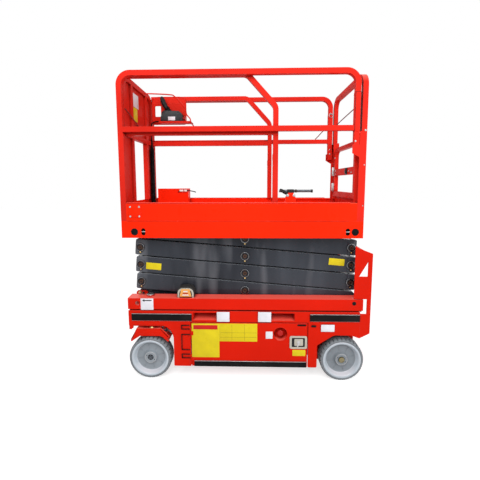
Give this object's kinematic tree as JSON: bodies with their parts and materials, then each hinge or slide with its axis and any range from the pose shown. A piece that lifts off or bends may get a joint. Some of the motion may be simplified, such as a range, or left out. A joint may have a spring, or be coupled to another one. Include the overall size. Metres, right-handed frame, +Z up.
{
  "type": "scissor lift",
  "caption": "Self-propelled electric scissor lift: slab chassis on wheels, stacked scissor arms and a guard-railed platform with a roll-out extension deck.",
  "frame": {"origin": "on the ground under the middle of the machine's bounding box", "axes": "+Z up, the machine drives towards -X, its entry gate is at +X and its left side at -Y"},
  "size_m": [1.742, 0.76, 2.1683],
  "materials": {
    "red_paint": "gloss paint",
    "dark_paint": "semi-gloss paint",
    "tyre": "solid grey non-marking rubber",
    "rim_paint": "light grey paint",
    "bare_steel": "plain steel",
    "rod_chrome": "hard chrome",
    "black_rubber": "matt rubber",
    "black_plastic": "moulded plastic",
    "grey_plastic": "moulded plastic",
    "cream_plastic": "moulded plastic",
    "red_plastic": "moulded plastic",
    "amber_lens": "translucent plastic"
  },
  "bodies": {
    "chassis": {"side_plate_left": "red_paint", "side_plate_right": "red_paint", "slide_channel_left": "red_paint", "slide_channel_right": "red_paint", "chassis_frame": "red_paint", "rear_axle": "bare_steel", "rear_ladder": "red_paint", "bumper_strips": "black_rubber", "beacon": "cream_plastic", "beacon_lens": "amber_lens"},
    "tray_left_body": {"tray_left": "red_paint", "battery_pack": "black_plastic", "door_strip_left": "black_rubber", "ground_controls": "cream_plastic", "stop_cup": "red_paint", "stop_button": "red_plastic"},
    "tray_right_body": {"tray_right": "red_paint", "power_unit": "grey_plastic", "door_strip_right": "black_rubber"},
    "knuckle_left_body": {"knuckle_left": "red_paint"},
    "knuckle_right_body": {"knuckle_right": "red_paint"},
    "tie_rod_body": {"tie_rod": "bare_steel"},
    "wheel_front_left": {"tyre_front_left": "tyre", "rim_front_left": "rim_paint"},
    "wheel_front_right": {"tyre_front_right": "tyre", "rim_front_right": "rim_paint"},
    "wheel_rear_left": {"tyre_rear_left": "tyre", "rim_rear_left": "rim_paint"},
    "wheel_rear_right": {"tyre_rear_right": "tyre", "rim_rear_right": "rim_paint"},
    "lift_barrel": {"cylinder_barrel": "dark_paint"},
    "lift_rod": {"cylinder_rod": "rod_chrome"},
    "platform": {"main_deck": "red_paint", "toe_boards": "red_paint", "guard_rail_left": "red_paint", "guard_rail_right": "red_paint", "rear_posts": "red_paint", "lock_lever": "bare_steel"},
    "gate": {"entry_gate": "red_paint"},
    "extension": {"extension_deck": "red_paint", "extension_rail_left": "red_paint", "extension_rail_right": "red_paint", "front_frame": "red_paint", "control_box": "grey_plastic", "joystick": "black_plastic", "control_shield": "red_paint", "outlet_box": "red_paint", "control_hose": "black_rubber"},
    "inner_1": {"inner_arms_1": "dark_paint"},
    "outer_1": {"outer_arms_1": "dark_paint"},
    "inner_2": {"inner_arms_2": "dark_paint"},
    "outer_2": {"outer_arms_2": "dark_paint"},
    "inner_3": {"inner_arms_3": "dark_paint"},
    "outer_3": {"outer_arms_3": "dark_paint"},
    "inner_4": {"inner_arms_4": "dark_paint"},
    "outer_4": {"outer_arms_4": "dark_paint"}
  },
  "joints": [
    {"name": "lift_pivot", "type": "hinge", "parent": "chassis", "child": "inner_1", "pos_m": [-0.77436, 0, 0.571], "axis": [0, -1, 0], "range_deg": [0, 53.24]},
    {"name": "centre_1", "type": "hinge", "parent": "inner_1", "child": "outer_1", "pos_m": [-0.012, 0, 0.6345], "axis": [0, -1, 0], "range_deg": [-106.49, 0]},
    {"name": "node_1", "type": "hinge", "parent": "outer_1", "child": "inner_2", "pos_m": [-0.77436, 0, 0.698], "axis": [0, -1, 0], "range_deg": [0, 106.49]},
    {"name": "centre_2", "type": "hinge", "parent": "inner_2", "child": "outer_2", "pos_m": [-0.012, 0, 0.7615], "axis": [0, -1, 0], "range_deg": [-106.49, 0]},
    {"name": "node_2", "type": "hinge", "parent": "outer_2", "child": "inner_3", "pos_m": [-0.77436, 0, 0.825], "axis": [0, -1, 0], "range_deg": [0, 106.49]},
    {"name": "centre_3", "type": "hinge", "parent": "inner_3", "child": "outer_3", "pos_m": [-0.012, 0, 0.8885], "axis": [0, -1, 0], "range_deg": [-106.49, 0]},
    {"name": "node_3", "type": "hinge", "parent": "outer_3", "child": "inner_4", "pos_m": [-0.77436, 0, 0.952], "axis": [0, -1, 0], "range_deg": [0, 106.49]},
    {"name": "centre_4", "type": "hinge", "parent": "inner_4", "child": "outer_4", "pos_m": [-0.012, 0, 1.0155], "axis": [0, -1, 0], "range_deg": [-106.49, 0]},
    {"name": "deck_pivot", "type": "hinge", "parent": "outer_4", "child": "platform", "pos_m": [-0.77436, 0, 1.079], "axis": [0, -1, 0], "range_deg": [0, 53.25]},
    {"name": "barrel_pivot", "type": "hinge", "parent": "inner_1", "child": "lift_barrel", "pos_m": [0.52115, 0, 0.67891], "axis": [0, -1, 0], "range_deg": [-115.52, 0]},
    {"name": "rod_slide", "type": "slide", "parent": "lift_barrel", "child": "lift_rod", "axis": [-0.9892, 0, 0.1468], "range_m": [0, 0.6537]},
    {"name": "steer_left", "type": "hinge", "parent": "chassis", "child": "knuckle_left_body", "pos_m": [-0.6985, -0.33, 0.38], "axis": [0, 0, 1], "range_deg": [-57, 57]},
    {"name": "steer_right", "type": "hinge", "parent": "chassis", "child": "knuckle_right_body", "pos_m": [-0.6985, 0.33, 0.38], "axis": [0, 0, 1], "range_deg": [-57.01, 57.01]},
    {"name": "tie_rod_pivot", "type": "hinge", "parent": "knuckle_left_body", "child": "tie_rod_body", "pos_m": [-0.5985, -0.33, 0.349], "axis": [0, 0, 1], "range_deg": [-57.01, 57.01]},
    {"name": "roll_front_left", "type": "hinge", "parent": "knuckle_left_body", "child": "wheel_front_left", "pos_m": [-0.6985, -0.33, 0.154], "axis": [0, 1, 0], "continuous": true},
    {"name": "roll_front_right", "type": "hinge", "parent": "knuckle_right_body", "child": "wheel_front_right", "pos_m": [-0.6985, 0.33, 0.154], "axis": [0, 1, 0], "continuous": true},
    {"name": "roll_rear_left", "type": "hinge", "parent": "chassis", "child": "wheel_rear_left", "pos_m": [0.6805, -0.33, 0.154], "axis": [0, 1, 0], "continuous": true},
    {"name": "roll_rear_right", "type": "hinge", "parent": "chassis", "child": "wheel_rear_right", "pos_m": [0.6805, 0.33, 0.154], "axis": [0, 1, 0], "continuous": true},
    {"name": "tray_left_swing", "type": "hinge", "parent": "chassis", "child": "tray_left_body", "pos_m": [-0.3975, -0.377, 0.25], "axis": [0, 0, -1], "range_deg": [0, 90]},
    {"name": "tray_right_swing", "type": "hinge", "parent": "chassis", "child": "tray_right_body", "pos_m": [-0.3975, 0.377, 0.25], "axis": [0, 0, 1], "range_deg": [0, 90]},
    {"name": "gate_swing", "type": "hinge", "parent": "platform", "child": "gate", "pos_m": [0.744, 0.27, 1.44], "axis": [0, 0, -1], "range_deg": [0, 90]},
    {"name": "deck_slide", "type": "slide", "parent": "platform", "child": "extension", "axis": [-1, 0, 0], "range_m": [0, 0.9]}
  ],
  "couplings": [
    {"joint": "centre_1", "follows": "lift_pivot", "ratio": -2},
    {"joint": "node_1", "follows": "lift_pivot", "ratio": 2},
    {"joint": "centre_2", "follows": "lift_pivot", "ratio": -2},
    {"joint": "node_2", "follows": "lift_pivot", "ratio": 2},
    {"joint": "centre_3", "follows": "lift_pivot", "ratio": -2},
    {"joint": "node_3", "follows": "lift_pivot", "ratio": 2},
    {"joint": "centre_4", "follows": "lift_pivot", "ratio": -2},
    {"joint": "deck_pivot", "follows": "lift_pivot", "ratio": 1},
    {"joint": "barrel_pivot", "follows": "lift_pivot", "ratio": -2.1689},
    {"joint": "rod_slide", "follows": "lift_pivot", "m_per_rad": 0.70299},
    {"joint": "steer_right", "follows": "steer_left", "ratio": 1},
    {"joint": "tie_rod_pivot", "follows": "steer_left", "ratio": -1}
  ]
}
